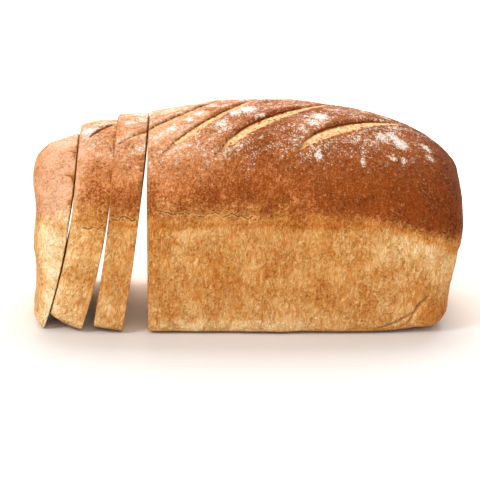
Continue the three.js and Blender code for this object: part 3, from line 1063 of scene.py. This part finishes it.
def lay_crust(bread, spot, cloud, fine, speck):
    """The crust's colour with painted light and shade on the wall, its threads, and how far the curls of
    the wall stand proud.
    """
    tall = bread.place("dough", UPRIGHT_WALL)
    worms, ridge = bread.worms(tall, WORM_SIZE), bread.threads(tall, RIDGE_SIZE, RIDGE_WIDTH)
    # Painted light and shade: each ridge of the wall is painted lighter and the side beyond it darker, as
    # if lit from the upper left.
    shaded_side_spot = bread.node("ShaderNodeVectorMath", {"operation": "ADD"}, {0: tall, 1: SHADED_SIDE_SHIFT})
    painted_ridge_light_and_shade = bread.threads(shaded_side_spot, RIDGE_SIZE, RIDGE_WIDTH) - ridge
    shade = bread.varied(bread.number("wall_bake"), (cloud, 0.3), (worms, 0.3), (speck, 0.2), (fine, 0.28))
    # Painted shade darkens the grooves of the wall's wrinkles.
    shade = shade + bread.number("worm") * WORM_SHADE + painted_ridge_light_and_shade * RIDGE_PAINTED_LIGHT_AND_SHADE - WALL_LIGHTEN
    wall, band = bread.ramp(WALL_STOPS, shade), bread.ramp(WALL_STOPS, shade + BAND_SHADE)

    streaks = bread.grain(bread.place("dough", UPRIGHT_CROWN), STREAK_SIZE, 3)
    shade = bread.varied(bread.number("bake"), (cloud, 0.4), (streaks, 0.6), (speck, 0.7))
    thread = bread.threads(spot, THREAD_SIZE, THREAD_WIDTH) * cloud.between(0.35, 0.6)
    crown = bread.mix(thread * 0.4, bread.ramp(CROWN_STOPS, shade), THREAD)
    rising = bread.varied(bread.number("above_rim"), (cloud, 0.6), (fine, 1.1), (speck, 0.6))
    crown = bread.mix(rising.between(0.05, 0.85), band, crown)
    crust = bread.mix(bread.number("crown"), wall, crown)
    crust = bread.mix(bread.number("base") * 0.7, crust, BASE_CRUST)
    curls = (ridge * 0.1 - worms * 0.25) * (1 - bread.number("crown"))
    return crust, thread, curls


# %% The open scores and the crumb
def lay_scores(bread, crust, spot, cloud, fine, speck):
    """The crust with its open scores, and the pores in them."""
    gold = bread.mix(fine.between(0.35, 0.65), SCORE_PALE, SCORE_GOLD)
    pore = bread.pores(spot, 2.0).between(0.34, 0.16) * cloud.between(0.35, 0.55)
    # Pores in a score's floor are painted shade.
    gold = bread.mix(pore, gold, SCORE_PORE_SHADE)
    # The strip under the far lip is painted shadow.
    gold = bread.mix(bread.number("score_shadow").between(0.1, 0.95), gold, SCORE_SHADOW)
    opened = bread.varied(bread.number("score_floor") * 1.6, (fine, 2.0), (speck, 1.5))
    return bread.mix(opened.between(0.45, 1.05), crust, gold), pore


def lay_crumb(bread, crust, spot, fine):
    crumb = bread.mix(fine.between(0.3, 0.7), CRUMB_PALE, CRUMB_WARM)
    # Pores and deeper holes in the crumb are painted darker, as painted shade.
    crumb = bread.mix(bread.pores(spot, 2.2).between(0.3, 0.14) * 0.6, crumb, CRUMB_PORE_SHADE)
    crumb = bread.mix(bread.number("hole") * 0.5, crumb, CRUMB_HOLE_SHADE)
    rind = bread.varied(bread.number("under_skin"), (fine, 0.3))
    crumb = bread.mix(rind.between(0.42, 0.1), crumb, RIND)
    return bread.mix(bread.number("cut").between(0.3, 0.7), crust, crumb)


# %% Torn edges, cracks and flour
def lay_marks(bread, crust, fine):
    ragged = bread.varied(bread.number("torn"), (fine, 0.5))
    crust = bread.mix(ragged.between(0.15, 0.35) * 0.8, crust, TORN_LIGHT)
    # The deepest part of each bite is painted shade.
    crust = bread.mix(ragged.between(0.4, 0.75) * 0.7, crust, TORN_SHADE)
    crack = bread.number("crack")
    crust = bread.mix(crack.between(0.01, 0.15) * 0.35, crust, CRACK_LIGHT)
    # The inside of each crack and fold is painted shade.
    return bread.mix(crack.between(0.3, 0.7) * 0.8, crust, CRACK_SHADE)


def lay_flour(bread, crust, spot, cloud, fine, speck):
    crown = bread.number("crown")
    dust = bread.varied(bread.number("flour") * 2.1, (fine, 2.0), (speck, 3.0))
    crust = bread.mix(dust.between(0.8, 1.5) * crown * 0.65, crust, FLOUR_THIN)
    crust = bread.mix(dust.between(1.3, 2.1) * crown * 0.9, crust, FLOUR_THICK)
    flying = bread.pores(spot, 2.6).between(0.15, 0.08) * cloud.between(0.48, 0.6) * crown
    return bread.mix(flying * 0.4, crust, FLOUR_GRAIN)


# %% The whole finish
BUMP_DISTANCE = 1.1 * MM
DULL, DULL_CHANGE = 0.66, 0.25


def bread_finish(name):
    bread = Recipe(name)
    spot = bread.place("dough")
    cloud = bread.grain(spot, CLOUD_SIZE)
    fine, speck = bread.grain(spot, FINE_SIZE, 3), bread.grain(spot, SPECK_SIZE, 1)
    crust, thread, curls = lay_crust(bread, spot, cloud, fine, speck)
    crust, pore = lay_scores(bread, crust, spot, cloud, fine, speck)
    crust = lay_crumb(bread, crust, spot, fine)
    crust = lay_marks(bread, crust, fine)
    crust = lay_flour(bread, crust, spot, cloud, fine, speck)
    height = fine * (bread.number("crown") * 0.35 + 0.35) + curls + speck * 0.18
    height = height - pore * 0.5 + thread * 0.2 + bread.number("flour") * speck * 0.5
    return bread.finish(crust, bread.varied(DULL, (fine, DULL_CHANGE)), height, BUMP_DISTANCE)


bread = bread_finish("baked bread")
for node, piece in baked.items():
    piece.data.materials.clear()
    piece.data.materials.append(bread)
    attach(piece, "root")
    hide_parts(node)
print("finished", len(baked), "pieces with", len(bread.node_tree.nodes), "nodes")

# %% [markdown]
# ## The white table and the light
# The loaf stands on a white table that runs out of sight. The table could be a curved backdrop, but
# from this height a plain one already fills the view. A broad key light hangs above and a little
# behind, a smaller one from the front left draws out the wrinkles, and a soft one fills in the front.
# A low warm lamp behind the slices stands for the light that real crumb lets through.

# %% Table and light
TABLE_SIZE, TABLE_TINT, TABLE_DULL = 12, tint(236, 232, 228), 0.9
WHITE_LIGHT, WARM_LIGHT, CRUMB_LIGHT = (1, 1, 1), (1, 0.95, 0.88), (1, 0.66, 0.46)
SKY_STRENGTH = 0.68
LAMPS = (
    ("key_light", (0.1, 0.8, 1.25), 1.2, 19, WHITE_LIGHT),
    ("side_light", (-1.0, -0.75, 0.95), 0.4, 9, WHITE_LIGHT),
    ("back_light", (-0.085, 0.9, 0.16), 0.3, 7, CRUMB_LIGHT),
    ("fill_light", (0.0, -1.5, 0.7), 1.0, 4.2, WARM_LIGHT),
)

bpy.ops.mesh.primitive_plane_add(size=TABLE_SIZE, location=(0, 0, 0))
table = bpy.context.object
table.name = "white_table"
white = Recipe("white table")
table.data.materials.append(white.finish(TABLE_TINT, TABLE_DULL, 0.0, 0.0))


def soft_light(name, place, size, power, colour):
    """A square lamp that faces the middle of the table."""
    place = Vector(place)
    bpy.ops.object.light_add(type="AREA", location=place, rotation=place.to_track_quat("Z", "Y").to_euler())
    lamp = bpy.context.object
    lamp.name, lamp.data.size, lamp.data.energy, lamp.data.color = name, size, power, colour


for lamp_settings in LAMPS:
    soft_light(*lamp_settings)
sky = bpy.data.worlds.new("studio white")
sky.use_nodes = True
sky.node_tree.nodes["Background"].inputs["Color"].default_value = (*WHITE_LIGHT, 1)
sky.node_tree.nodes["Background"].inputs["Strength"].default_value = SKY_STRENGTH
bpy.context.scene.world = sky
bpy.context.scene.view_settings.view_transform = "Standard"
